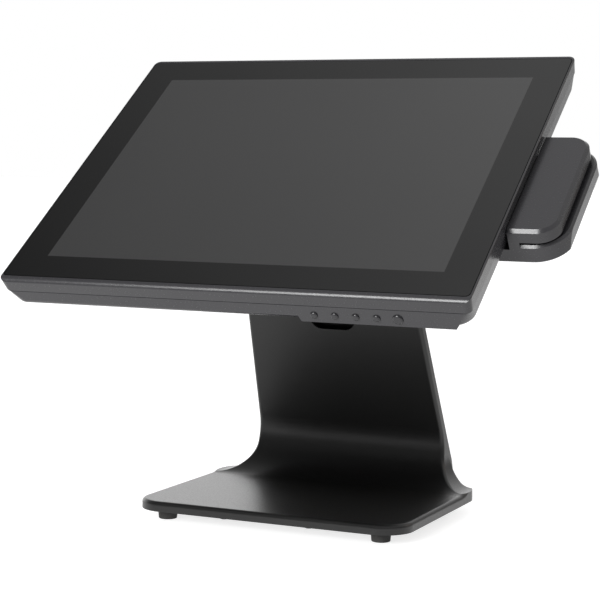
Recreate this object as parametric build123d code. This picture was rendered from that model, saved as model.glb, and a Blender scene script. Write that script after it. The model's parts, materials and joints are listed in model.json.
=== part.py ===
from build123d import *
import os
from math import cos, radians, sin, sqrt, tan

# Countertop point-of-sale terminal: a 15-inch touch head on an L-shaped stand, with a card reader
# on its right side. Millimetres. +X is the operator's right, +Y points away from the operator, +Z up.
# The origin is the centre of the four counter-fixing holes, on the underside of the base.
# Head parts are drawn in head coordinates: x to the right, u up along the glass, n out of the glass,
# with their origin at the middle of the head's front, and are then placed on the HEAD plane.

# ---------------------------------------------------------------- head: place and tilt
TILT = 35.98                    # glass from horizontal, degrees
GLASS_Y, GLASS_Z = -34.47, 256.79   # middle of the head's front
HEAD = Plane(origin=(0, GLASS_Y, GLASS_Z), x_dir=(1, 0, 0), z_dir=(0, -sin(radians(TILT)), cos(radians(TILT))))
HINGE_U, HINGE_N = 17.6, -65.0  # tilt axis in head coordinates
HINGE_Y = GLASS_Y + HINGE_U * cos(radians(TILT)) - HINGE_N * sin(radians(TILT))
HINGE_Z = GLASS_Z + HINGE_U * sin(radians(TILT)) + HINGE_N * cos(radians(TILT))

# ---------------------------------------------------------------- head: front
GLASS_W, GLASS_H, GLASS_T = 354.2, 276.7, 3.0
GLASS_U = 0.85                  # the glass sits this far above the middle
GLASS_R = 3.5
GLASS_EDGE = 0.3
BEZEL_W, BEZEL_H, BEZEL_R = 357.4, 285.2, 5.5
BEZEL_N = -11.5                 # parting line with the rear cover
BEZEL_TAPER = 7.0
SIDE_ROUND, FRONT_ROUND = 0.8, 4.6      # round the sides and top, and along the front edge
POCKET_GAP = 0.35               # glass to bezel
TAPE_T = 0.6
LEDGE_T = 2.0
LCD_W, LCD_H, LCD_T = 326.5, 253.5, 9.2
LCD_N = -4.2                    # front of the panel module
LIT_X = 0.9                     # the lit area is this far right of the middle
WINDOW_W, WINDOW_H = 306.5, 230.5
OPENING_GAP = 1.5               # panel to bezel opening
RIB_T = 1.8
WALL = 2.5

# ---------------------------------------------------------------- head: rear
PART_GAP = 0.45                 # parting-line reveal
COVER_W, COVER_H = 353.8, 282.4
COVER_N = -24.5                 # back of the shallow rim
COVER_ROUND = 4.6
COVER_SIDE_IN, COVER_END_IN = 2.0, 0.4   # how far the sides and ends lean in towards the back
COVER_R0, COVER_R1 = 5.0, 15.0  # corner radius at the parting line and at the back
COVER_INNER_R = 12.5
BULGE_W, BULGE_U0, BULGE_U1 = 236.0, -100.0, 84.0
BULGE_N = -50.0
TRAY_N, TRAY_T = -13.8, 1.2
POST_X, POST_U = 168.0, 131.4
STANDOFF_X, STANDOFF_U = 150.0, 118.0
BOARD_N, BOARD_T = -21.0, 1.6
VESA = 75.0                     # hinge plate hole spacing, both ways
SPEAKER_X, SPEAKER_U = 134.0, -101.0

# ---------------------------------------------------------------- buttons
BAR_X0, BAR_X1 = 54.4, 164.6    # the cover's deeper stretch around the buttons, at its rear edge
BAR_SLANT0, BAR_SLANT1 = 2.0, 4.0        # how far its ends slant outwards, going forward
BAR_U = -140.9                  # its outer face
BAR_N = -25.9                   # its rear face
BAR_IN = 5.5
BAR_SKIN = 2.0
BUTTON_N, BUTTON_PITCH, BUTTON_X0 = -19.5, 15.05, 65.1
BUTTON_R, POWER_R = 2.7, 3.75
BUTTON_OUT, BUTTON_DOME = 1.6, 1.4
BUTTON_TRAVEL = 0.8
STEM_R = 1.5

# ---------------------------------------------------------------- card reader
READER_X0 = 178.0
READER_U0 = -58.4
FRONT_X1, FRONT_U1, FRONT_R = 212.2, 51.8, 15.0
REAR_X1, REAR_U1, REAR_R = 216.5, 57.0, 24.0
REAR_LEAN = 1.5                 # how far the rear half's right side leans in towards the back
READER_FACE = -8.3
SLOT_N0, SLOT_N1 = -18.7, -21.6
SLOT_X = 185.6
READER_BACK = -35.0
FRONT_BEVEL, REAR_BEVEL = 2.2, 1.7
READER_SKIN = 2.2
ARM_X0, ARM_SCREW_X, ARM_SCREW_U = 150.0, 161.0, (-40.0, 35.0)
READ_HEAD_X, READ_HEAD_U = 199.0, 0.0

# ---------------------------------------------------------------- stand
BASE_W, BASE_FRONT, BASE_TOP = 216.0, -80.0, 7.4
BASE_CORNER = 23.0
BEND_Y, BEND_R = 47.0, 32.5     # inside bend between base and neck, seen from the side
BEND_Z = BASE_TOP + BEND_R
LEAN = 22.15                    # neck leans forward, degrees from vertical
SHELL_T = 5.5                   # depth of the shell's sides on the neck
HEEL_TOP = 56.0                 # height where the shell's rear edge leaves the neck's line
HEEL_A, HEEL_B, HEEL_C, HEEL_D = (88.9, 36.0), (92.0, 25.5), (90.3, 17.2), (83.5, 10.5)
HEEL_END = (74.0, 4.0)
PLAN_BACK, PLAN_BACK_R = 92.0, 26.0      # rear end and rear corners of the stand, seen from above
NECK_TOP = 195.4
NECK_HALF_0, NECK_NARROW = 82.88, 0.07   # half width at z = 0 and how much it loses per mm
FLARE_R, FLARE_LIFT = 24.0, 0.6  # flares end a little above the base's top
NECK_CORNER = 27.0
SHELL_WALL = 2.5
EDGE_ROUND = 3.0                # where the front and top meet the sides
CABLE_W, CABLE_H, CABLE_Z, CABLE_R = 39.0, 22.0, 129.4, 10.0
COVER_HIGH = 10.8               # rear cover's outside behind the neck's front, at the top
COVER_HEEL, COVER_TURN, COVER_FOOT = (100.2, 26.0), (100.5, 11.7), (91.0, 0.8)
COVER_INSIDE = (84.0, 24.0)     # a point between the shell's bend and its heel
COVER_GAP = 0.5
COVER_SKIN = 2.2
PLATE_T = 2.0
SPINE_T = 2.7
FOOT_X, FOOT_Y0, FOOT_Y1, FOOT_H, FOOT_R = 86.0, -62.9, 50.0, 7.6, 7.5
FIX_X, FIX_Y, FIX_R = 75.0, 45.0, 1.65   # counter-fixing holes, tapped M4

# ---------------------------------------------------------------- hinge
SHAFT_R, SHAFT_HALF = 5.0, 54.0
TUBE_R, TUBE_HALF = 10.0, 38.0
SHROUD_R, SHROUD_HALF = 13.0, 40.0
EAR_X0, EAR_X1, EAR_R = 43.0, 46.0, 12.0
RUN_GAP = 0.05
NUT_AF, NUT_T = 16.0, 5.5


def block(x0, x1, y0, y1, z0, z1):
    return Pos((x0 + x1) / 2, (y0 + y1) / 2, (z0 + z1) / 2) * Box(x1 - x0, y1 - y0, z1 - z0)


def rod(r, x, y, z0, z1):
    """A cylinder along the third axis."""
    return Pos(x, y, (z0 + z1) / 2) * Cylinder(r, z1 - z0)


def rod_u(r, x, n, u0, u1):
    """A cylinder along u."""
    return Pos(x, (u0 + u1) / 2, n) * Rot(90, 0, 0) * Cylinder(r, u1 - u0)


def rod_x(r, x0, x1, y, z):
    """A cylinder along x."""
    return Pos((x0 + x1) / 2, y, z) * Rot(0, 90, 0) * Cylinder(r, x1 - x0)


def slab(w, h, r, z0, z1, x=0.0, y=0.0):
    """A plate with rounded corners between two levels."""
    return Pos(x, y, z0) * extrude(RectangleRounded(w, h, r), z1 - z0)


def both_sides(shape):
    return [shape, mirror(shape, Plane.YZ)]


def corners(x, y):
    return [(sx * x, sy * y) for sx in (-1, 1) for sy in (-1, 1)]


def pull(shapes, start=None):
    """Join shapes one by one."""
    total = start
    for shape in shapes:
        total = shape if total is None else total + shape
    return total


def save(name, shape, plane=None):
    """Write one node; a list of shapes is a group of separate solids."""
    items = shape if isinstance(shape, list) else [shape]
    solids = []
    for item in items:
        placed = plane * item if plane else item
        solids += placed.solids()
    result = solids[0] if len(solids) == 1 else Compound(children=solids)
    result.label = name
    export_step(result, f"parts/{name}.step")


def yz_prism(face, half_width=150.0):
    """A face drawn in the YZ plane, pushed out to both sides."""
    return extrude(Plane.YZ * face, half_width, both=True)


# ================================================================ head
def touch_glass():
    glass = slab(GLASS_W, GLASS_H, GLASS_R, -GLASS_T, 0, y=GLASS_U)
    return chamfer(glass.edges().group_by(Axis.Z)[-1], GLASS_EDGE)


def glass_tape():
    outer = slab(GLASS_W - 1.5, GLASS_H - 1.5, GLASS_R, -GLASS_T - TAPE_T, -GLASS_T, y=GLASS_U)
    return outer - slab(LCD_W + 5.5, LCD_H + 5.5, 2.0, -10, 0)


def bezel_outer():
    shape = extrude(RectangleRounded(BEZEL_W, BEZEL_H, BEZEL_R), BEZEL_N, taper=BEZEL_TAPER)
    shape = fillet(shape.edges().group_by(Axis.Z)[-1], SIDE_ROUND)
    half = BEZEL_H / 2
    side = Polyline((-half, 2 * BEZEL_N), (-half, 0), (half, 0), (half, 2 * BEZEL_N), close=True)
    lower_front = make_face(side).vertices().group_by(Axis.Y)[-1].sort_by(Axis.X)[0]
    return shape & extrude(Plane.YZ * fillet(lower_front, FRONT_ROUND), BEZEL_W, both=True)


def front_bezel():
    open_w, open_h = LCD_W + 2 * OPENING_GAP, LCD_H + 2 * OPENING_GAP
    ledge = -GLASS_T - TAPE_T
    shape = bezel_outer()
    shape -= slab(GLASS_W + 2 * POCKET_GAP, GLASS_H + 2 * POCKET_GAP, GLASS_R, ledge, 1, y=GLASS_U)
    shape -= slab(open_w, open_h, 2.0, -20, 1)
    channel = slab(BEZEL_W - 2 * WALL - 3.2, BEZEL_H - 2 * WALL - 3.2, BEZEL_R - WALL, BEZEL_N - 1, ledge - LEDGE_T)
    channel -= slab(open_w + 2 * RIB_T, open_h + 2 * RIB_T, 2.0, -20, 1)
    shape -= channel
    for x, u in post_places():
        shape += rod(3.1, x, u, TRAY_N + 0.05, ledge - LEDGE_T + 0.2)
        shape -= rod(1.25, x, u, TRAY_N - 1, ledge - LEDGE_T - 0.5)
    return shape


def post_places():
    return corners(POST_X, 100.0) + corners(40.0, POST_U)


def lcd_panel():
    shape = slab(LCD_W, LCD_H, 1.5, LCD_N - LCD_T, LCD_N)
    return shape - slab(WINDOW_W, WINDOW_H, 0.5, LCD_N - 0.5, LCD_N + 1, x=LIT_X)


def chassis_tray():
    level = TRAY_N - TRAY_T
    shape = slab(342.0, 269.0, 6.0, level, TRAY_N)
    shape += slab(200.0, 160.0, 8.0, level - 2.0, level + 0.1, y=0)
    shape -= slab(197.6, 157.6, 7.0, level - 0.8, TRAY_N + 1, y=0)
    for x, u in post_places():
        shape -= rod(1.7, x, u, level - 5, TRAY_N + 1)
    for x, u in corners(STANDOFF_X, STANDOFF_U):
        shape += rod(3.5, x, u, COVER_N + WALL + 0.1, level + 0.1)
        shape -= rod(1.25, x, u, COVER_N, -17)
    for x, u in vesa_places():
        shape += rod(4.5, x, u, -44.9, level - 1)
        shape -= rod(1.65, x, u, -46, -30)
    return shape


def vesa_places():
    return [(x, HINGE_U + u) for x, u in corners(VESA / 2, VESA / 2)]


def screw(r_head, t_head, r_body, length, x, y, top, tip_sign):
    """A screw with its head's bearing face at `top`; the body runs from there along tip_sign."""
    head = rod(r_head, x, y, *sorted((top, top - tip_sign * t_head)))
    socket = rod(r_head * 0.45, x, y, *sorted((top - tip_sign * t_head * 0.4, top - tip_sign * t_head * 2)))
    body = rod(r_body, x, y, *sorted((top - tip_sign * 0.1, top + tip_sign * length)))
    return head - socket + body


def tray_screws():
    return [screw(2.8, 1.8, 1.25, 6.0, x, u, TRAY_N - TRAY_T, 1) for x, u in post_places()]


BOARD_X, BOARD_U0, BOARD_U1 = 105.0, -88.0, 72.0


def board_places():
    return [(x, u) for x in (-96.0, 0.0, 96.0) for u in (BOARD_U0 + 22, BOARD_U1 - 7)]


def board_standoffs():
    low = TRAY_N - TRAY_T
    return [rod(2.5, x, u, BOARD_N, low - 2.0) for x, u in board_places()]


def main_board():
    shape = slab(2 * BOARD_X, BOARD_U1 - BOARD_U0, 3.0, BOARD_N - BOARD_T, BOARD_N, y=(BOARD_U0 + BOARD_U1) / 2)
    back = BOARD_N - BOARD_T + 0.1
    parts = [(-28, 28, -10, 44, 2.3), (-78, -52, 10, 36, 1.6), (50, 86, 34, 60, 3.2), (-96, -60, -62, -38, 4.5),
             (54, 64, -12, 2, 7.0), (66, 76, -12, 2, 7.0), (-20, 24, -60, -46, 2.6), (58, 96, -60, -42, 5.0)]
    for x0, x1, u0, u1, t in parts:
        shape += block(x0, x1, u0, u1, back - t, back)
    for x, u in vesa_places():
        shape -= rod(5.5, x, u, -40, -10)
    for x, u in board_places():
        shape -= rod(1.6, x, u, -40, -10)
    return shape


def board_screws():
    return [screw(2.6, 1.8, 1.2, 1.6, x, u, BOARD_N - BOARD_T, 1) for x, u in board_places()]


def heat_sink():
    base = block(-30, 30, -12, 46, -28.0, BOARD_N - BOARD_T - 2.25)
    fins = [block(-30 + i * 5.0, -28.4 + i * 5.0, -12, 46, -43.5, -27.9) for i in range(12)]
    return pull(fins, base)


def memory_module():
    card = block(-102, -72, -30, 37.6, -27.4, -26.2)
    return pull([block(-96, -80, -26 + i * 16, -14 + i * 16, -28.6, -27.3) for i in range(4)], card)


def storage_module():
    card = block(80, 102, -36, 44, -27.0, -26.2)
    return card + block(83, 99, -30, 2, -28.4, -26.9) + block(83, 99, 12, 34, -28.0, -26.9)


def io_ports():
    """Power, network, serial, video and USB sockets along the board's lower edge, each a closed shell
    with its own mouth facing down."""
    sockets = [(-82, 11, 13, 3.2), (-62, 16, 14, 5.4), (-42, 16, 14, 5.4), (-20, 14, 7, 2.0),
               (2, 15, 16, 5.6), (22, 15, 16, 5.6), (42, 15, 16, 5.6), (72, 31, 12.5, 4.2)]
    shapes = []
    for x, w, h, mouth in sockets:
        n1 = BOARD_N - BOARD_T
        body = block(x - w / 2, x + w / 2, -96.5, -74, n1 - h, n1)
        body -= block(x - w / 2 + 1, x + w / 2 - 1, -98, -84, n1 - h + 1, n1 - h / 2 - 0.4)
        body -= block(x - w / 2 + 1, x + w / 2 - 1, -98, -84, n1 - h / 2 + 0.4, n1 - 1)
        shapes.append(body)
    return shapes


def speakers():
    """A sealed box on the tray behind each end of the head, its cone facing the back."""
    low = TRAY_N - TRAY_T
    shapes = []
    for side in (-1, 1):
        x = side * SPEAKER_X
        box = block(x - 18, x + 18, SPEAKER_U - 11, SPEAKER_U + 11, -20.6, low)
        box += rod(8.5, x, SPEAKER_U, -21.6, -20.5) - rod(7.0, x, SPEAKER_U, -22, -21.1)
        shapes.append(box)
    return shapes


def touch_controller():
    low = TRAY_N - TRAY_T
    card = block(122, 164, 40, 92, low - 1.6, low)
    return card + block(132, 146, 58, 72, low - 3.0, low - 1.5) + block(150, 160, 50, 82, low - 5.0, low - 1.5)


def cover_outer():
    """The shallow rim, with corners that grow rounder towards the back, and the deep middle."""
    front = Pos(0, 0, BEZEL_N - PART_GAP) * RectangleRounded(COVER_W, COVER_H, COVER_R0)
    back = Pos(0, 0, COVER_N) * RectangleRounded(COVER_W - 2 * COVER_SIDE_IN, COVER_H - 2 * COVER_END_IN, COVER_R1)
    rim = loft([front, back])
    rim = fillet(rim.faces().sort_by(Axis.Z)[0].edges(), COVER_ROUND)
    bulge = Pos(0, (BULGE_U0 + BULGE_U1) / 2, COVER_N + 1) * extrude(
        RectangleRounded(BULGE_W + 2, BULGE_U1 - BULGE_U0 + 2, 10), BULGE_N - COVER_N - 1, taper=4)
    bulge = fillet(bulge.faces().sort_by(Axis.Z)[0].edges(), 5.0)
    return rim + bulge


def cover_inner():
    top = BEZEL_N - PART_GAP
    mid = (BULGE_U0 + BULGE_U1) / 2
    rim = slab(COVER_W - 2 * (WALL + COVER_SIDE_IN), COVER_H - 2 * WALL, COVER_INNER_R, COVER_N + WALL, top + 1)
    deep = slab(BULGE_W - 2 * WALL - 2.4, BULGE_U1 - BULGE_U0 - 2 * WALL - 2.4, 7, BULGE_N + WALL, top + 1, y=mid)
    deep -= block(-53, 53, HINGE_U - 53, HINGE_U + 53, BULGE_N, BULGE_N + 2 * WALL)
    return rim + deep


def bar_block():
    """The deeper stretch of the cover's lower wall around the buttons, with slanted ends."""
    top = BEZEL_N - PART_GAP - 1.0
    bend = COVER_N + COVER_ROUND
    points = Polyline((BAR_X0 - BAR_SLANT0, top), (BAR_X1 + BAR_SLANT1, top), (BAR_X1 + BAR_SLANT1, bend),
                      (BAR_X1, BAR_N), (BAR_X0, BAR_N), (BAR_X0 - BAR_SLANT0, bend), close=True)
    return extrude(Plane.XZ * make_face(points), 400, both=True) & block(0, 200, BAR_U, BAR_U + BAR_IN, -40, 0)


def button_pocket():
    """Room behind the buttons: deep enough for their flanges, shallower over the switch board."""
    x0, x1 = BAR_X0 + 2.0, BAR_X1 - 2.0
    inner = BAR_U + BAR_SKIN
    shape = block(x0, x1, inner, inner + 2.3, BAR_N + 1.5, -13) + block(x0, x1, inner, inner + 8.0, -23.2, -13)
    return pull([rod_u(r + 0.1, x, BUTTON_N, BAR_U - 5, inner + 1) for x, r in button_places()], shape)


def vents():
    """Speaker and air slots, all on the back."""
    shapes = []
    for side in (-1, 1):
        for row in range(9):
            shapes.append(slab(40.0, 2.6, 1.29, BULGE_N - 5, BULGE_N + WALL + 1, x=side * 82.0, y=8.0 + row * 6.6))
        for hole in range(11):
            x = side * (46 + hole * 5.6)
            shapes.append(block(x - 1.3, x + 1.3, 70, 95, -45, -31))
        for hole in range(7):
            x = side * SPEAKER_X - 12 + hole * 4
            shapes.append(slab(1.8, 14.0, 0.89, COVER_N - 1, COVER_N + WALL + 1, x=x, y=SPEAKER_U))
    return shapes


def rear_cover():
    shape = cover_outer() + bar_block() - cover_inner() - button_pocket()
    for x, u in corners(STANDOFF_X, STANDOFF_U):
        shape -= rod(1.7, x, u, -30, -20)
        shape -= rod(3.3, x, u, -30, COVER_N + 1.4)
    for x, u in vesa_places():
        shape -= rod(2.3, x, u, -60, -40)
    for u in ARM_SCREW_U:
        shape -= rod(1.25, ARM_SCREW_X, u, -30, -20)
    shape -= slab(101.2, 101.2, 3.6, BULGE_N - 1, BULGE_N + WALL, y=HINGE_U)
    shape -= block(-92, 92, -110, -90, -43.5, BOARD_N - 1.5)
    for opening in vents():
        shape -= opening
    return shape - block(164.0, 180, 14, 30, -30, -20)


def rear_cover_screws():
    return [screw(2.9, 1.3, 1.25, 6.0, x, u, COVER_N + 1.4, 1) for x, u in corners(STANDOFF_X, STANDOFF_U)]


def button_places():
    return [(BUTTON_X0 + i * BUTTON_PITCH, POWER_R if i == 4 else BUTTON_R) for i in range(5)]


def button(index):
    x, r = button_places()[index]
    outer = BAR_U - BUTTON_OUT
    cap = rod_u(r, x, BUTTON_N, outer, BAR_U + BAR_SKIN + 0.1)
    cap = fillet(cap.edges().group_by(Axis.Y)[0], BUTTON_DOME)
    flange = rod_u(r + 0.9, x, BUTTON_N, BAR_U + BAR_SKIN + 0.05, BAR_U + BAR_SKIN + 1.0)
    stem = rod_u(STEM_R, x, BUTTON_N, BAR_U + BAR_SKIN + 0.9, BAR_U + BAR_SKIN + 2.4)
    return cap + flange + stem


SWITCH_U = BAR_U + BAR_SKIN + 2.0       # outer face of the switch bodies
SWITCH_T = 2.6


def push_switches():
    shapes = []
    for x, _ in button_places():
        body = block(x - 3, x + 3, SWITCH_U, SWITCH_U + SWITCH_T, BUTTON_N - 3, BUTTON_N + 3)
        shapes.append(body - rod_u(STEM_R + 0.15, x, BUTTON_N, SWITCH_U - 1, SWITCH_U + 1.4))
    return shapes


def button_board():
    u = SWITCH_U + SWITCH_T
    return block(BAR_X0 + 4, BAR_X0 + 86, u, u + 1.2, -23.0, -15.6) + block(128, 136, u + 1.1, u + 3.2, -21.8, -17)


def hinge_ear(x0, x1):
    """One ear of the head's hinge bracket, from its plate to the tilt axis."""
    half = 22.0
    n = BULGE_N + 1.0
    foot = Polyline((HINGE_U - half, n), (HINGE_U + half, n), (HINGE_U + EAR_R * 0.94, HINGE_N + 4.0),
                    (HINGE_U - EAR_R * 0.94, HINGE_N + 4.0), close=True)
    web = extrude(Plane.YZ * make_face(foot), x1 - x0)
    ear = Pos(x0, 0, 0) * web + rod_x(EAR_R, x0, x1, HINGE_U, HINGE_N)
    return ear - rod_x(SHAFT_R + RUN_GAP, x0 - 1, x1 + 1, HINGE_U, HINGE_N)


def head_bracket():
    plate = slab(100.0, 100.0, 3.0, BULGE_N, BULGE_N + 2.4, y=HINGE_U)
    shape = pull([hinge_ear(EAR_X0, EAR_X1), hinge_ear(-EAR_X1, -EAR_X0)], plate)
    for x, u in vesa_places():
        shape -= rod(2.25, x, u, -60, -40)
    return shape


def head_bracket_screws():
    return [screw(4.0, 2.3, 1.65, 14.0, x, u, BULGE_N, 1) for x, u in vesa_places()]


# ================================================================ card reader
def reader_outline(x0, x1, u0, u1, r):
    """Square corners against the head, round ones outside."""
    shape = Pos((x0 + x1) / 2, (u0 + u1) / 2) * Rectangle(x1 - x0, u1 - u0)
    return fillet(shape.vertices().group_by(Axis.X)[-1], r)


def outer_edges(shape, level, x_min):
    """The rim edges at one level, without the one against the head."""
    return [e for e in shape.edges() if abs(e.center().Z - level) < 0.01 and e.center().X > x_min]


def reader_front():
    outline = reader_outline(READER_X0, FRONT_X1, READER_U0, FRONT_U1, FRONT_R)
    shape = Pos(0, 0, SLOT_N0) * extrude(outline, READER_FACE - SLOT_N0)
    shape = chamfer(outer_edges(shape, READER_FACE, READER_X0 + 1), FRONT_BEVEL)
    t = READER_SKIN
    inner = reader_outline(READER_X0 + t, FRONT_X1 - t, READER_U0 + t, FRONT_U1 - t, FRONT_R - t)
    return shape - Pos(0, 0, SLOT_N0 - 1) * extrude(inner, 1 + (READER_FACE - t) - SLOT_N0)


def reader_liner():
    """The wear plate on the slot's front side, with a window for the read head."""
    t = READER_SKIN + 0.1
    inner = reader_outline(READER_X0 + t, FRONT_X1 - t, READER_U0 + t, FRONT_U1 - t, FRONT_R - t)
    shape = Pos(0, 0, SLOT_N0) * extrude(inner, 1.5)
    return shape - block(READ_HEAD_X - 6.3, READ_HEAD_X + 6.3, READ_HEAD_U - 8.3, READ_HEAD_U + 8.3, -30, 0)


def reader_spacer():
    return block(READER_X0, SLOT_X, READER_U0, FRONT_U1, SLOT_N1, SLOT_N0)


def reader_rear():
    """The rear half of the reader, with the arm that holds it to the back of the head."""
    outline = reader_outline(READER_X0, REAR_X1, READER_U0, REAR_U1, REAR_R)
    shape = Pos(0, 0, SLOT_N1) * extrude(outline, READER_BACK - SLOT_N1)
    shape = chamfer(outer_edges(shape, SLOT_N1, READER_X0 + 1), REAR_BEVEL)
    lean = Polyline((READER_X0, SLOT_N1), (REAR_X1, SLOT_N1), (REAR_X1, SLOT_N1 - REAR_BEVEL),
                    (REAR_X1 - REAR_LEAN, READER_BACK), (READER_X0, READER_BACK), close=True)
    shape &= extrude(Plane.XZ * make_face(lean), 200, both=True)
    shape += block(READER_X0, SLOT_X, READER_U0, READER_U0 + 2 * REAR_BEVEL, SLOT_N1 - 2 * REAR_BEVEL, SLOT_N1)
    shape += block(ARM_X0, READER_X0 + 3, READER_U0, REAR_U1 - 8, READER_BACK, COVER_N - 0.3)
    inner = reader_outline(READER_X0 + 2.2, REAR_X1 - 4.0, READER_U0 + 3.4, REAR_U1 - 3.4, REAR_R - 3.4)
    shape -= Pos(0, 0, READER_BACK - 1) * extrude(inner, SLOT_N1 - READER_SKIN - READER_BACK + 1)
    for u in ARM_SCREW_U:
        shape -= rod(1.7, ARM_SCREW_X, u, -40, -20)
        shape -= rod(3.4, ARM_SCREW_X, u, -40, -33)
    return shape


def reader_back_plate():
    inner = reader_outline(READER_X0 + 2.35, REAR_X1 - 4.15, READER_U0 + 3.55, REAR_U1 - 3.55, REAR_R - 3.5)
    shape = Pos(0, 0, READER_BACK) * extrude(inner, 2.0)
    for x, u in reader_back_places():
        shape -= rod(1.4, x, u, -40, -20)
    return shape


def reader_back_places():
    return [(190.0, -44.0), (190.0, 42.0)]


def reader_board():
    shape = block(185, 209, -30, 30, -31.6, -30.2)
    return shape + block(190, 204, -10, 8, -30.3, -28.4)


def reader_screws():
    fixing = [screw(3.0, 1.9, 1.25, 10.6, ARM_SCREW_X, u, -33.0, 1) for u in ARM_SCREW_U]
    return fixing + [screw(2.3, 1.4, 1.2, 5.0, x, u, READER_BACK, 1) for x, u in reader_back_places()]


def read_head():
    """The sprung magnetic head: a block with a rounded nose that stands into the slot."""
    nose = rod_x(7.0, READ_HEAD_X - 6, READ_HEAD_X + 6, READ_HEAD_U, SLOT_N0 + 6.2)
    shape = block(READ_HEAD_X - 6, READ_HEAD_X + 6, READ_HEAD_U - 8, READ_HEAD_U + 8, SLOT_N0 + 0.8, SLOT_N0 + 4.0)
    return shape + (nose & block(READ_HEAD_X - 6, READ_HEAD_X + 6, -8, 8, SLOT_N0 - 1, SLOT_N0 + 4.0))


def read_head_spring():
    """A leaf spring behind the read head, held by the front housing."""
    leaf = block(READ_HEAD_X - 4, READ_HEAD_X + 4, -24, 24, SLOT_N0 + 5.6, SLOT_N0 + 6.0)
    feet = [block(READ_HEAD_X - 4, READ_HEAD_X + 4, u - 2, u + 2, SLOT_N0 + 5.9, READER_FACE - READER_SKIN) for u in (-22, 22)]
    return pull(feet, leaf)


# ================================================================ stand
def neck_point(offset, z):
    """A point of the neck, `offset` behind its front surface, at height z."""
    end_y = BEND_Y + (BEND_R + offset) * cos(radians(LEAN))
    end_z = BEND_Z + (BEND_R + offset) * sin(radians(LEAN))
    return end_y - (z - end_z) * tan(radians(LEAN)), z


def path_edges(offset, y_front, z_top):
    """Base line, bend and neck line at one depth behind the front surface, from front to top."""
    r = BEND_R + offset
    low = BEND_Z - r
    mid_angle = radians(-90 + (90 + LEAN) / 2)
    middle = (BEND_Y + r * cos(mid_angle), BEND_Z + r * sin(mid_angle))
    end = (BEND_Y + r * cos(radians(LEAN)), BEND_Z + r * sin(radians(LEAN)))
    top = neck_point(offset, z_top)
    return [(y_front, low), (BEND_Y, low), middle, end, top]


def band(off0, off1, y_front, z_top, half_width):
    """An L-shaped strip between two depths behind the stand's front surface."""
    a = path_edges(off0, y_front, z_top)
    b = path_edges(off1, y_front, z_top)
    edges = [Line(a[0], a[1]), ThreePointArc(a[1], a[2], a[3]), Line(a[3], a[4]), Line(a[4], b[4]),
             Line(b[4], b[3]), ThreePointArc(b[3], b[2], b[1]), Line(b[1], b[0]), Line(b[0], a[0])]
    return extrude(Plane.YZ * make_face(edges), half_width, both=True)


def stand_outline(inset, z_top, corner):
    """The stand seen from the front: base, flares, and the neck that narrows upwards."""
    lean = sqrt(1 + NECK_NARROW ** 2)
    r = FLARE_R + inset
    zc = BASE_TOP + FLARE_LIFT + FLARE_R
    xc = NECK_HALF_0 - NECK_NARROW * zc + FLARE_R * lean
    low_x, low_z = xc, zc - r
    tx, tz = xc - r / lean, zc - r * NECK_NARROW / lean
    mx, mz = xc - r * cos(radians(47)), zc - r * sin(radians(47))
    half = BASE_W / 2 - inset
    top_x = tx - NECK_NARROW * (z_top - tz)
    right = [Line((half, -20), (half, low_z)), Line((half, low_z), (low_x, low_z)),
             ThreePointArc((low_x, low_z), (mx, mz), (tx, tz)), Line((tx, tz), (top_x, z_top))]
    left = [mirror(e, Plane.YZ) for e in right]
    face = make_face(right + left + [Line((top_x, z_top), (-top_x, z_top)), Line((half, -20), (-half, -20))])
    face = fillet(face.vertices().group_by(Axis.Y)[-1], corner)
    return extrude(Plane.XZ * face, 300, both=True)


def base_plan(inset, y_back=PLAN_BACK, back_r=PLAN_BACK_R):
    """The stand seen from above: straight sides, round front and rear corners."""
    half = BASE_W / 2 - inset
    face = Pos(0, (BASE_FRONT + inset + y_back) / 2) * Rectangle(2 * half, y_back - BASE_FRONT - inset)
    face = fillet(face.vertices().group_by(Axis.Y)[0], BASE_CORNER - inset)
    return fillet(face.vertices().group_by(Axis.Y)[-1], back_r)


def side_view(grow=0.0):
    """The stand's shell seen from the side: base, bend and neck, with the rear edge of its sides."""
    front = path_edges(0, BASE_FRONT - 5, NECK_TOP)
    leave = neck_point(SHELL_T, HEEL_TOP)
    low = (HEEL_END[0], 0.0)
    edges = [Line(front[0], front[1]), ThreePointArc(front[1], front[2], front[3]), Line(front[3], front[4]),
             Line(front[4], neck_point(SHELL_T, NECK_TOP)), Line(neck_point(SHELL_T, NECK_TOP), leave),
             ThreePointArc(leave, HEEL_A, HEEL_B), ThreePointArc(HEEL_B, HEEL_C, HEEL_D), Line(HEEL_D, HEEL_END),
             Line(HEEL_END, low), Line(low, (front[0][0], 0.0)), Line((front[0][0], 0.0), front[0])]
    face = make_face(edges)
    return offset(face, grow) if grow else face


def stand_shell():
    shape = yz_prism(side_view()) & stand_outline(0, NECK_TOP, NECK_CORNER)
    shape &= Pos(0, 0, -50) * extrude(base_plan(0), 400)
    shape = fillet([e for e in shape.edges() if on_front(e)], EDGE_ROUND)
    hollow = band(SHELL_WALL, 60, BASE_FRONT - 5, NECK_TOP + 20, 150)
    hollow &= stand_outline(SHELL_WALL, NECK_TOP - SHELL_WALL, NECK_CORNER - SHELL_WALL)
    hollow &= Pos(0, 0, -50) * extrude(base_plan(SHELL_WALL, 200.0, 5.0), 400)
    shape -= hollow
    shape -= cable_cut()
    shape -= block(-TUBE_HALF - 0.4, TUBE_HALF + 0.4, 0, 60, NECK_TOP - 8, NECK_TOP + 10) & band(2.2, 30, 0, 230, 80)
    for x, y in base_screw_places():
        shape += rod(3.5, x, y, PLATE_T + 0.05, BASE_TOP - 1)
        shape -= rod(1.25, x, y, 0, BASE_TOP - 1.6)
    return shape


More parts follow.
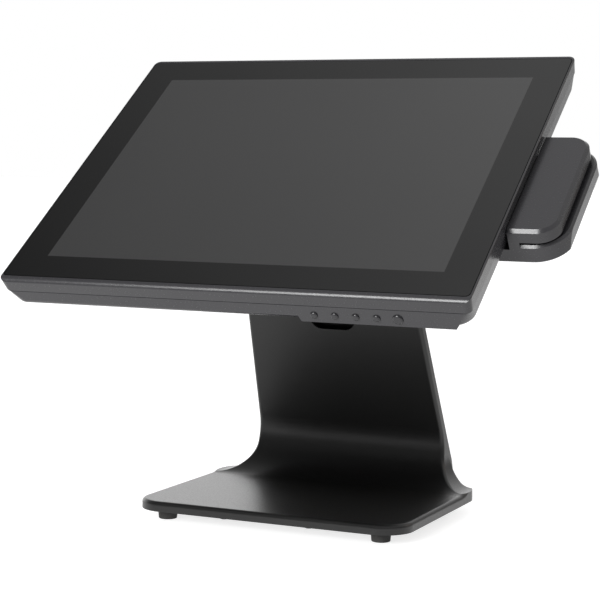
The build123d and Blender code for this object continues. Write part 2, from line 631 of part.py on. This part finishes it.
def on_front(edge):
    """Is the edge on the front surface, away from the middle?"""
    point = edge @ 0.5
    if point.Z < BASE_TOP - 0.1:
        return False
    if point.Y <= BEND_Y:
        return abs(point.Z - BASE_TOP) < 0.01 and (abs(point.X) > 80 or point.Y < BASE_FRONT + 1)
    reach = sqrt((point.Y - BEND_Y) ** 2 + (point.Z - BEND_Z) ** 2)
    on_bend = abs(reach - BEND_R) < 0.3
    on_neck = abs(neck_point(0, point.Z)[0] - point.Y) < 0.3
    return (on_bend or on_neck) and abs(point.X) > 30


def cable_cut():
    face = Pos(0, CABLE_Z + CABLE_H / 2) * RectangleRounded(CABLE_W, CABLE_H, CABLE_R)
    return Pos(0, neck_point(4, CABLE_Z)[0], 0) * extrude(Plane.XZ * face, 14, both=True)


def neck_outline(inset, z_top, corner):
    """The neck seen from behind, running straight down past the bend."""
    low_z = COVER_FOOT[1]
    low, high = (NECK_HALF_0 - NECK_NARROW * z - inset for z in (low_z, z_top))
    face = make_face(Polyline((-low, low_z), (low, low_z), (high, z_top), (-high, z_top), close=True))
    face = fillet(face.vertices().group_by(Axis.Y)[-1], corner)
    return extrude(Plane.XZ * face, 300, both=True)


def cover_side_view(z_top):
    """The rear cover seen from the side, before the shell's room is taken out."""
    start, high = neck_point(3.0, z_top), neck_point(COVER_HIGH, z_top)
    low = (HEEL_END[0] - 5.0, COVER_FOOT[1])
    inside = neck_point(3.0, HEEL_TOP)
    return make_face([Line(start, high), Line(high, COVER_HEEL), ThreePointArc(COVER_HEEL, COVER_TURN, COVER_FOOT),
                      Line(COVER_FOOT, low), Line(low, COVER_INSIDE), Line(COVER_INSIDE, inside), Line(inside, start)])


def stand_rear_cover():
    """A closing panel down the back of the neck, with a lip that sits inside the shell's sides."""
    z_top = NECK_TOP - 0.5
    outer = yz_prism(cover_side_view(z_top)) & neck_outline(1.2, z_top, NECK_CORNER - 1.2)
    outer -= yz_prism(side_view(COVER_GAP))
    room = yz_prism(offset(cover_side_view(z_top), -COVER_SKIN)) & neck_outline(1.2 + COVER_SKIN, z_top - COVER_SKIN, 22.0)
    lip = yz_prism(side_view(COVER_GAP + 0.1)) - yz_prism(side_view(-2.0))
    lip &= band(SHELL_WALL + 0.6, 60, 0, z_top - 28, 150) & stand_outline(SHELL_WALL + 0.3, z_top, 20)
    lip &= Pos(0, 0, -50) * extrude(base_plan(SHELL_WALL + 0.3, 200.0, 5.0), 400)
    lip -= block(-150, 150, 0, HEEL_END[0] + 1.5, -10, 20) + block(-150, 150, 0, 200, -10, 3)
    lip -= neck_outline(5.0, z_top + 30, 20.0)
    shape = outer - room + lip
    return shape - block(-18, 18, 60, 140, -1, 13)


def base_screw_places():
    return [(-97.0, -38.0), (97.0, -38.0), (-97.0, 28.0), (97.0, 28.0), (-34.0, -72.0), (34.0, -72.0)]


def spine_screw_places():
    return corners(48.0, 14.0)


def base_plate():
    shape = extrude(base_plan(SHELL_WALL + 0.2, HEEL_END[0] - 0.5, 8.0), PLATE_T)
    for x, y in corners(FIX_X, FIX_Y):
        shape -= rod(FIX_R, x, y, -5, 10)
    for x, y in foot_places():
        shape -= rod(1.65, x, y, -5, 10)
    for x, y in base_screw_places():
        shape -= rod(1.7, x, y, -5, 10)
    for x, y in spine_screw_places():
        shape -= rod(2.25, x, y + SPINE_Y, -5, 10)
    return shape


SPINE_Y = 22.0                  # middle of the spine's foot


def foot_places():
    return [(x, y) for x in (-FOOT_X, FOOT_X) for y in (FOOT_Y0, FOOT_Y1)]


def base_weight():
    shape = slab(176.0, 62.0, 6.0, PLATE_T + 0.05, BASE_TOP - SHELL_WALL - 0.1, y=-34.0)
    for x, y in corners(FIX_X, FIX_Y):
        shape -= rod(2.4, x, y, -5, 10)
    for x, y in foot_places():
        shape -= rod(4.0, x, y, -5, 10)
    return shape


def stand_spine():
    off0 = SHELL_WALL + 0.1
    off1 = off0 + SPINE_T
    shape = band(off0, off1, 0, HINGE_Z - 6, TUBE_HALF)
    shape += band(off0, off1, 0, 110, 62)
    shape += rod_x(TUBE_R, -TUBE_HALF, TUBE_HALF, HINGE_Y, HINGE_Z)
    shape -= rod_x(SHAFT_R, -100, 100, HINGE_Y, HINGE_Z)
    shape -= block(-22.5, 22.5, 0, 200, CABLE_Z - 9, CABLE_Z + CABLE_H + 14)
    for x, y in spine_screw_places():
        shape -= rod(1.65, x, y + SPINE_Y, -5, 10)
    return shape


def hinge_shroud():
    """The moulded barrel over the hinge tube, running down into the top of the neck."""
    z_low = NECK_TOP + 0.3
    f0, f1 = neck_point(0, z_low), neck_point(COVER_HIGH, z_low)
    t0 = (HINGE_Y - SHROUD_R * cos(radians(LEAN)), HINGE_Z - SHROUD_R * sin(radians(LEAN)) )
    t1 = (HINGE_Y + SHROUD_R * cos(radians(LEAN)), HINGE_Z + SHROUD_R * sin(radians(LEAN)) )
    web = extrude(Plane.YZ * make_face(Polyline(f0, f1, t1, t0, close=True)), SHROUD_HALF, both=True)
    shape = web + rod_x(SHROUD_R, -SHROUD_HALF, SHROUD_HALF, HINGE_Y, HINGE_Z)
    shape -= rod_x(TUBE_R + 0.1, -100, 100, HINGE_Y, HINGE_Z)
    shape -= band(SHELL_WALL - 0.05, SHELL_WALL + SPINE_T + 0.25, 0, HINGE_Z, 100)
    return shape


def hinge_shaft():
    shaft = rod_x(SHAFT_R, -SHAFT_HALF, SHAFT_HALF, HINGE_Y, HINGE_Z)
    ends = shaft.edges().group_by(Axis.X)
    return chamfer(ends[0] + ends[-1], 0.6)


def ring_x(r0, r1, x0, x1):
    return rod_x(r1, x0, x1, HINGE_Y, HINGE_Z) - rod_x(r0, x0 - 1, x1 + 1, HINGE_Y, HINGE_Z)


def friction_washers():
    shapes = []
    for i in range(3):
        x = TUBE_HALF + 0.3 + i * 1.5
        shapes += both_sides(ring_x(SHAFT_R, 9.0, x, x + 1.4))
    return shapes


def hinge_nuts():
    x = EAR_X1 + 1.7
    nut = extrude(Plane.YZ * RegularPolygon(NUT_AF / 2, 6, major_radius=False), NUT_T)
    nut = Pos(x, HINGE_Y, HINGE_Z) * nut - rod_x(SHAFT_R, 0, 100, HINGE_Y, HINGE_Z)
    return both_sides(nut)


def hinge_washers():
    return both_sides(ring_x(SHAFT_R, 9.5, EAR_X1 + 0.1, EAR_X1 + 1.6))


def rubber_feet():
    shapes = []
    for x, y in foot_places():
        foot = Pos(x, y, -FOOT_H / 2) * Cone(FOOT_R - 0.7, FOOT_R, FOOT_H)
        foot = fillet(foot.edges().group_by(Axis.Z)[0], 0.7)
        foot -= rod(1.75, x, y, -20, 5)
        foot -= rod(3.9, x, y, -20, -FOOT_H + 3.2)
        shapes.append(foot)
    return shapes


def foot_screws():
    return [screw(3.5, 2.2, 1.65, 5.6, x, y, -FOOT_H + 3.2, 1) for x, y in foot_places()]


def base_screws():
    return [screw(2.8, 1.6, 1.25, 5.0, x, y, 0, 1) for x, y in base_screw_places()]


def spine_screws():
    return [screw(3.6, 2.2, 1.65, 4.4, x, y + SPINE_Y, 0, 1) for x, y in spine_screw_places()]


os.makedirs("parts", exist_ok=True)
IN_HEAD = [touch_glass, glass_tape, front_bezel, lcd_panel, chassis_tray, tray_screws, board_standoffs,
           main_board, board_screws, heat_sink, memory_module, storage_module, io_ports, speakers,
           touch_controller, rear_cover, rear_cover_screws, push_switches, button_board,
           head_bracket, head_bracket_screws, reader_front, reader_liner, reader_spacer, reader_rear,
           reader_back_plate, reader_board, reader_screws, read_head, read_head_spring]
for part in IN_HEAD:
    save(part.__name__, part(), HEAD)
for number in range(4):
    save(f"button_{number + 1}", button(number), HEAD)
save("power_button", button(4), HEAD)
IN_STAND = [stand_shell, stand_rear_cover, base_plate, base_weight, stand_spine, hinge_shroud, hinge_shaft,
            friction_washers, hinge_nuts, hinge_washers, rubber_feet, foot_screws, base_screws, spine_screws]
for part in IN_STAND:
    save(part.__name__, part())
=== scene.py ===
import json
from math import atan, radians

import bpy
from mathutils import Matrix, Vector


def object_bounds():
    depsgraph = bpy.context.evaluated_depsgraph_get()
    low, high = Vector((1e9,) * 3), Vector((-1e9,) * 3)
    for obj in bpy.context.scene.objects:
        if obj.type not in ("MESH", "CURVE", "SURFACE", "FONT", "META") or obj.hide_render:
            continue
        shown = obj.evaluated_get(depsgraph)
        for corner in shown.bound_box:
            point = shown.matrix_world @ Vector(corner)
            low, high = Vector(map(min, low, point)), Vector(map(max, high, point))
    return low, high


# The looks of a countertop point-of-sale terminal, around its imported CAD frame. Metres, +Z up.

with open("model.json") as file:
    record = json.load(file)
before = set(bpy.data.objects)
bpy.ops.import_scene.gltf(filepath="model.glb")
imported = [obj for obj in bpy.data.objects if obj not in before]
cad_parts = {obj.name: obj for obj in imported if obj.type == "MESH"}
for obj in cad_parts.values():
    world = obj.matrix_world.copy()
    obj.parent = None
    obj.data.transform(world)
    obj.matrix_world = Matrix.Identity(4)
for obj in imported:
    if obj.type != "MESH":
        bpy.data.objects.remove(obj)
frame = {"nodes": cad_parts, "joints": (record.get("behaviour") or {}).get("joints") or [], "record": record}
cad_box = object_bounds()

JOINTS = {j["name"]: j for j in frame["joints"]}
HINGE = Vector(JOINTS["head_tilt"]["pos_m"])
UP_GLASS = Vector(JOINTS["button_1_press"]["axis"]).normalized()
OUT_GLASS = Vector(JOINTS["read_head_float"]["axis"]).normalized()
HINGE_U, HINGE_N = 0.0176, -0.065        # tilt axis from the middle of the head's front, up and out
LIT_X = 0.0009                           # the lit area sits a little right of the head's middle
SCREEN = HINGE - UP_GLASS * HINGE_U - OUT_GLASS * HINGE_N + Vector((LIT_X, 0.0, 0.0))
LIT_W, LIT_H = 0.3041, 0.2281            # lit area of the display
TILT = atan(UP_GLASS.z / UP_GLASS.y)
SOFT_EDGE = 0.0003                       # half width of the lit area's soft edge

FRONT_LIGHT = 0.15                       # the room's brightness near the horizon, in front of the terminal
BACK_LEFT_LIGHT, BACK_RIGHT_LIGHT = 2.4, 0.12
LEFT_LIGHT, RIGHT_LIGHT = 0.17, 0.70     # and overhead
FLOOR_SIDE, FLOOR_FRONT = 14.0, -0.9     # reach to the sides and back, and the front end
FLOOR_DROP = 0.0002                      # gap under the feet
FLOOR_GLOW = 0.75
LAMP_AIM = (0.0, 0.0, 0.16)
UNLIT_FROM_FRONT = ("stand_black", "cover_glass")    # slots that the front lamp leaves out

CAMERA_AT = (0.54427, -1.20653, 0.26467)
CAMERA_YAW, CAMERA_PITCH, CAMERA_ROLL = radians(24.59), radians(4.70), radians(0.69)
CAMERA_LENS, CAMERA_SENSOR = 105.65, 36.0            # mm
CAMERA_SHIFT = (-0.0005, -0.0007)


# ---------------------------------------------------------------- node helpers
class Tree:
    """A short way to write a node tree."""

    def __init__(self, tree):
        self.tree = tree

    def add(self, kind, **values):
        node = self.tree.nodes.new(kind)
        for key, value in values.items():
            if key in node.inputs:
                self.put(node.inputs[key], value)
            else:
                setattr(node, key, value)
        return node

    def put(self, socket, value):
        if isinstance(value, bpy.types.NodeSocket):
            self.tree.links.new(value, socket)
        else:
            socket.default_value = value

    def math(self, operation, a, b=0.0, c=0.0):
        node = self.add("ShaderNodeMath", operation=operation)
        for socket, value in zip(node.inputs, (a, b, c)):
            self.put(socket, value)
        return node.outputs[0]

    def remap(self, value, low, high, to_low, to_high):
        node = self.add("ShaderNodeMapRange")
        for socket, item in zip(node.inputs, (value, low, high, to_low, to_high)):
            self.put(socket, item)
        return node.outputs[0]

    def mix(self, factor, a, b):
        node = self.add("ShaderNodeMix", data_type="RGBA")
        self.put(node.inputs["Factor"], factor)
        self.put(node.inputs["A"], a)
        self.put(node.inputs["B"], b)
        return node.outputs["Result"]


class Nodes(Tree):
    """A material's node tree."""

    def __init__(self, name):
        self.mat = bpy.data.materials.new(name)
        self.mat.use_nodes = True
        super().__init__(self.mat.node_tree)
        self.bsdf = self.tree.nodes["Principled BSDF"]

    def set(self, **values):
        for key, value in values.items():
            self.put(self.bsdf.inputs[key.replace("_", " ")], value)

    def object_coords(self):
        return self.add("ShaderNodeTexCoord").outputs["Object"]

    def noise(self, scale, detail=3.0, rough=0.55, vector=None):
        node = self.add("ShaderNodeTexNoise", Scale=scale, Detail=detail, Roughness=rough)
        self.put(node.inputs["Vector"], vector or self.object_coords())
        return node.outputs["Fac"]

    def bump(self, height, strength, distance):
        node = self.add("ShaderNodeBump", Strength=strength, Distance=distance)
        self.put(node.inputs["Height"], height)
        return node.outputs["Normal"]

    def edge(self, radius):
        """1 near sharp edges, 0 on flat surfaces."""
        soft = self.add("ShaderNodeBevel", samples=4, Radius=radius).outputs["Normal"]
        hard = self.add("ShaderNodeNewGeometry").outputs["Normal"]
        dot = self.add("ShaderNodeVectorMath", operation="DOT_PRODUCT")
        self.put(dot.inputs[0], soft)
        self.put(dot.inputs[1], hard)
        return self.remap(dot.outputs["Value"], 1.0, 0.86, 0.0, 1.0)


def rgb(value, tint=(1.0, 1.0, 1.0)):
    return (value * tint[0], value * tint[1], value * tint[2], 1.0)


# ---------------------------------------------------------------- materials
def moulded_plastic(name, shade, tint, rough, grain, edge_lift=1.5):
    """Satin moulding with a spark-eroded grain, faint cloudiness and lighter, smoother edges."""
    m = Nodes(name)
    cloud = m.noise(9.0, 4.0)
    fine = m.noise(2600.0, 2.0, 0.6)
    broad = m.noise(700.0, 3.0, 0.6)
    worn = m.math("MULTIPLY", m.edge(0.0012), m.remap(m.noise(60.0, 5.0), 0.35, 0.65, 0.25, 1.0))
    base = m.mix(m.remap(cloud, 0.3, 0.7, 0.0, 1.0), rgb(shade * 0.94, tint), rgb(shade * 1.06, tint))
    base = m.mix(m.math("MULTIPLY", worn, 0.5), base, rgb(shade * edge_lift, tint))
    level = m.remap(broad, 0.3, 0.7, rough - 0.035, rough + 0.035)
    level = m.math("SUBTRACT", level, m.math("MULTIPLY", worn, 0.08))
    m.set(Base_Color=base, Roughness=level, IOR=1.49)
    m.set(Normal=m.bump(m.math("ADD", fine, m.math("MULTIPLY", broad, 0.6)), grain, 0.0002))
    return m.mat


def cover_glass():
    """Front glass: black printed border, and a slightly greyer lit area seen through it."""
    m = Nodes("cover_glass")
    local = m.add("ShaderNodeMapping", vector_type="TEXTURE")
    m.put(local.inputs["Vector"], m.object_coords())
    local.inputs["Location"].default_value = SCREEN
    local.inputs["Rotation"].default_value = (TILT, 0.0, 0.0)
    axes = m.add("ShaderNodeSeparateXYZ")
    m.put(axes.inputs[0], local.outputs[0])
    inside = []
    for output, side in zip(axes.outputs, (LIT_W, LIT_H)):
        distance = m.math("ABSOLUTE", output)
        inside.append(m.remap(distance, side / 2 - SOFT_EDGE, side / 2 + SOFT_EDGE, 1.0, 0.0))
    lit = m.math("MULTIPLY", *inside)
    haze = m.remap(m.noise(4.0, 2.0), 0.3, 0.7, 0.9, 1.1)
    border = rgb(0.007, (1.0, 1.0, 1.04))
    panel = rgb(0.087, (1.0, 1.0, 1.01))
    base = m.mix(lit, border, panel)
    smear = m.noise(26.0, 5.0, 0.6)
    facing = m.add("ShaderNodeVectorMath", operation="DOT_PRODUCT")
    m.put(facing.inputs[0], m.add("ShaderNodeTexCoord").outputs["Normal"])      # in the piece's own frame
    facing.inputs[1].default_value = OUT_GLASS
    ground = m.remap(facing.outputs["Value"], 0.985, 0.998, 1.0, 0.0)           # 1 on the rim, 0 on the face
    polish = m.remap(smear, 0.3, 0.7, 0.035, 0.065)
    m.set(Base_Color=base, IOR=1.5)
    m.set(Roughness=m.math("MAXIMUM", polish, m.math("MULTIPLY", ground, 0.5)))
    m.set(Specular_IOR_Level=m.math("MULTIPLY", haze, m.remap(ground, 0.0, 1.0, 0.5, 0.12)))
    m.set(Normal=m.bump(m.noise(90.0, 1.0), 0.015, 0.0001))
    return m.mat


def rubber():
    """Matt rubber with dusty patches."""
    m = Nodes("foot_rubber")
    grain = m.noise(1500.0, 4.0)
    dust = m.remap(m.noise(70.0, 4.0), 0.35, 0.7, 0.0, 1.0)
    m.set(Base_Color=m.mix(dust, rgb(0.010), rgb(0.022, (1.05, 1.0, 0.95))))
    m.set(Roughness=m.remap(grain, 0.3, 0.7, 0.72, 0.88), Normal=m.bump(grain, 0.35, 0.0002))
    return m.mat


def metal(name, shade, tint, rough, brushed):
    """Bare or plated metal, brushed along X, with duller patches."""
    m = Nodes(name)
    stretch = m.add("ShaderNodeMapping", Scale=(1.0, 30.0, 30.0))
    m.put(stretch.inputs["Vector"], m.object_coords())
    lines = m.noise(160.0, 4.0, 0.7, stretch.outputs[0])
    patch = m.noise(45.0, 4.0)
    base = m.mix(m.remap(patch, 0.3, 0.7, 0.0, 1.0), rgb(shade * 0.88, tint), rgb(shade * 1.08, tint))
    level = m.remap(patch, 0.3, 0.7, rough - 0.05, rough + 0.06)
    level = m.math("ADD", level, m.math("MULTIPLY", lines, brushed))
    m.set(Base_Color=base, Metallic=1.0, Roughness=level, Normal=m.bump(lines, 0.25, 0.0001))
    return m.mat


def powder_coat(name, shade, rough):
    """Painted steel that is worn to bare metal in places along its edges."""
    m = Nodes(name)
    cells = m.noise(900.0, 3.0, 0.5)
    worn = m.math("MULTIPLY", m.edge(0.0006), m.remap(m.noise(220.0, 4.0), 0.5, 0.62, 0.0, 1.0))
    base = m.mix(m.remap(m.noise(30.0, 3.0), 0.3, 0.7, 0.0, 1.0), rgb(shade * 0.85), rgb(shade * 1.15))
    base = m.mix(worn, base, rgb(0.22))
    m.set(Base_Color=base, Metallic=m.math("MULTIPLY", worn, 0.9))
    m.set(Roughness=m.remap(cells, 0.3, 0.7, rough - 0.06, rough + 0.08), Normal=m.bump(cells, 0.30, 0.0003))
    return m.mat


def circuit_board():
    """Solder mask over copper tracks: straight channels, darker component bodies."""
    m = Nodes("circuit_board")
    grid = m.add("ShaderNodeTexBrick", Scale=320.0)
    m.put(grid.inputs["Vector"], m.object_coords())
    tracks = m.remap(grid.outputs["Fac"], 0.0, 1.0, 0.0, 0.35)
    base = m.mix(tracks, (0.012, 0.085, 0.035, 1.0), (0.035, 0.16, 0.07, 1.0))
    base = m.mix(m.remap(m.noise(240.0, 2.0), 0.60, 0.62, 0.0, 0.7), base, rgb(0.02))
    m.set(Base_Color=base, Roughness=0.38, Normal=m.bump(grid.outputs["Fac"], 0.2, 0.0001))
    return m.mat


def make_materials():
    head_tint = (0.99, 0.97, 1.07)
    return {
        "cover_glass": cover_glass(),
        "moulded_charcoal": moulded_plastic("moulded_charcoal", 0.028, head_tint, 0.25, 0.05),
        "button_charcoal": moulded_plastic("button_charcoal", 0.020, head_tint, 0.20, 0.03),
        "stand_black": moulded_plastic("stand_black", 0.014, (1.0, 0.99, 0.985), 0.36, 0.16, edge_lift=2.0),
        "rubber_black": rubber(),
        "zinc_steel": metal("zinc_steel", 0.55, (0.98, 0.99, 1.0), 0.32, 0.15),
        "dark_steel": powder_coat("dark_steel", 0.022, 0.42),
        "black_screw": metal("black_screw", 0.06, (1.0, 1.0, 1.04), 0.36, 0.08),
        "fin_aluminium": metal("fin_aluminium", 0.62, (0.99, 1.0, 1.0), 0.36, 0.18),
        "board_green": circuit_board(),
        "socket_metal": metal("socket_metal", 0.58, (1.0, 0.99, 0.97), 0.26, 0.08),
        "panel_module": moulded_plastic("panel_module", 0.03, (1.0, 1.0, 1.0), 0.5, 0.1),
        "tape_black": rubber(),
        "spring_steel": metal("spring_steel", 0.6, (1.0, 0.98, 0.95), 0.24, 0.1),
    }


def dress_nodes(materials):
    """Every carried-over CAD node gets its slot's finished material."""
    for entry in frame["record"]["subparts"]:
        mesh = frame["nodes"][entry["node"]].data
        mesh.materials.clear()
        mesh.materials.append(materials[entry["material_slot"]])


# ---------------------------------------------------------------- studio
def studio_floor():
    """A pale table top; its reflections fade out in front and on the right, which shapes the highlights."""
    side, front = FLOOR_SIDE, FLOOR_FRONT
    z = cad_box[0][2] - FLOOR_DROP
    data = bpy.data.meshes.new("studio_floor")
    corners = [(-side, front, z), (side, front, z), (side, side, z), (-side, side, z)]
    data.from_pydata(corners, [], [(0, 1, 2, 3)])
    floor = bpy.data.objects.new("studio_floor", data)
    bpy.context.scene.collection.objects.link(floor)
    m = Nodes("studio_floor")
    m.set(Base_Color=rgb(0.50), Roughness=0.65)
    m.set(Specular_IOR_Level=0.2)
    place = m.add("ShaderNodeSeparateXYZ")
    m.put(place.inputs[0], m.object_coords())
    near = m.remap(place.outputs[1], -0.75, -0.40, 0.1, 1.0)
    mirrored = m.math("MULTIPLY", near, m.remap(place.outputs[0], 0.25, 1.2, FLOOR_GLOW, 0.05))
    seen = m.add("ShaderNodeLightPath").outputs["Is Camera Ray"]
    m.set(Emission_Color=rgb(1.0), Emission_Strength=m.remap(seen, 0.0, 1.0, mirrored, FLOOR_GLOW))
    data.materials.append(m.mat)


def world_light():
    """White to the camera; in reflections dim in front, and changing from left to right elsewhere."""
    world = bpy.data.worlds.new("studio_world")
    world.use_nodes = True
    bpy.context.scene.world = world
    t = Tree(world.node_tree)
    split = t.add("ShaderNodeSeparateXYZ")
    t.put(split.inputs[0], t.add("ShaderNodeTexCoord").outputs["Generated"])
    x, y, z = split.outputs
    behind = t.remap(x, -0.50, 0.35, BACK_LEFT_LIGHT, BACK_RIGHT_LIGHT)
    horizon = t.remap(y, -0.25, 0.45, FRONT_LIGHT, behind)
    overhead = t.remap(x, -0.56, -0.28, LEFT_LIGHT, RIGHT_LIGHT)
    height = t.remap(z, 0.25, 0.60, 0.0, 1.0)
    level = t.math("ADD", horizon, t.math("MULTIPLY", height, t.math("SUBTRACT", overhead, horizon)))
    seen = t.add("ShaderNodeLightPath").outputs["Is Camera Ray"]
    back = t.tree.nodes["Background"]
    t.put(back.inputs["Color"], t.mix(seen, level, rgb(1.0)))
    back.inputs["Strength"].default_value = 1.0


def softbox(name, location, size, power, colour=(1.0, 1.0, 1.0)):
    """A rectangular lamp that faces the terminal."""
    light = bpy.data.lights.new(name, "AREA")
    light.color = colour
    light.shape = "RECTANGLE"
    light.size, light.size_y = size
    light.energy = power
    lamp = bpy.data.objects.new(name, light)
    lamp.location = location
    lamp.rotation_euler = (Vector(LAMP_AIM) - Vector(location)).to_track_quat("-Z", "Y").to_euler()
    bpy.context.scene.collection.objects.link(lamp)
    return lamp


def studio_lights():
    """A strong lamp in front, which leaves out the stand and the glass, and a weak warm one behind."""
    front = softbox("front_box", (-0.57, -2.67, 1.05), (1.5, 1.25), 92.0)
    softbox("back_right_box", (1.9, 1.6, 1.1), (1.2, 1.2), 4.0, (1.0, 0.86, 0.75))
    flagged = bpy.data.collections.new("shaded_from_front_box")
    for entry in frame["record"]["subparts"]:
        if entry["material_slot"] in UNLIT_FROM_FRONT:
            flagged.objects.link(frame["nodes"][entry["node"]])
    for item in flagged.collection_objects:
        item.light_linking.link_state = "EXCLUDE"
    front.light_linking.receiver_collection = flagged


def photo_camera():
    """A long lens from the right of the operator's place, a little above the display's middle."""
    camera_data = bpy.data.cameras.new("camera")
    camera_data.lens = CAMERA_LENS
    camera_data.sensor_width = CAMERA_SENSOR
    camera_data.shift_x, camera_data.shift_y = CAMERA_SHIFT
    camera = bpy.data.objects.new("camera", camera_data)
    turn = Matrix.Rotation(CAMERA_YAW, 4, "Z")
    turn @= Matrix.Rotation(radians(90.0) - CAMERA_PITCH, 4, "X")
    turn @= Matrix.Rotation(CAMERA_ROLL, 4, "Z")
    camera.matrix_world = Matrix.Translation(CAMERA_AT) @ turn
    bpy.context.scene.collection.objects.link(camera)
    bpy.context.scene.camera = camera


bpy.context.scene.view_settings.view_transform = "Standard"
dress_nodes(make_materials())
studio_floor()
world_light()
studio_lights()
photo_camera()
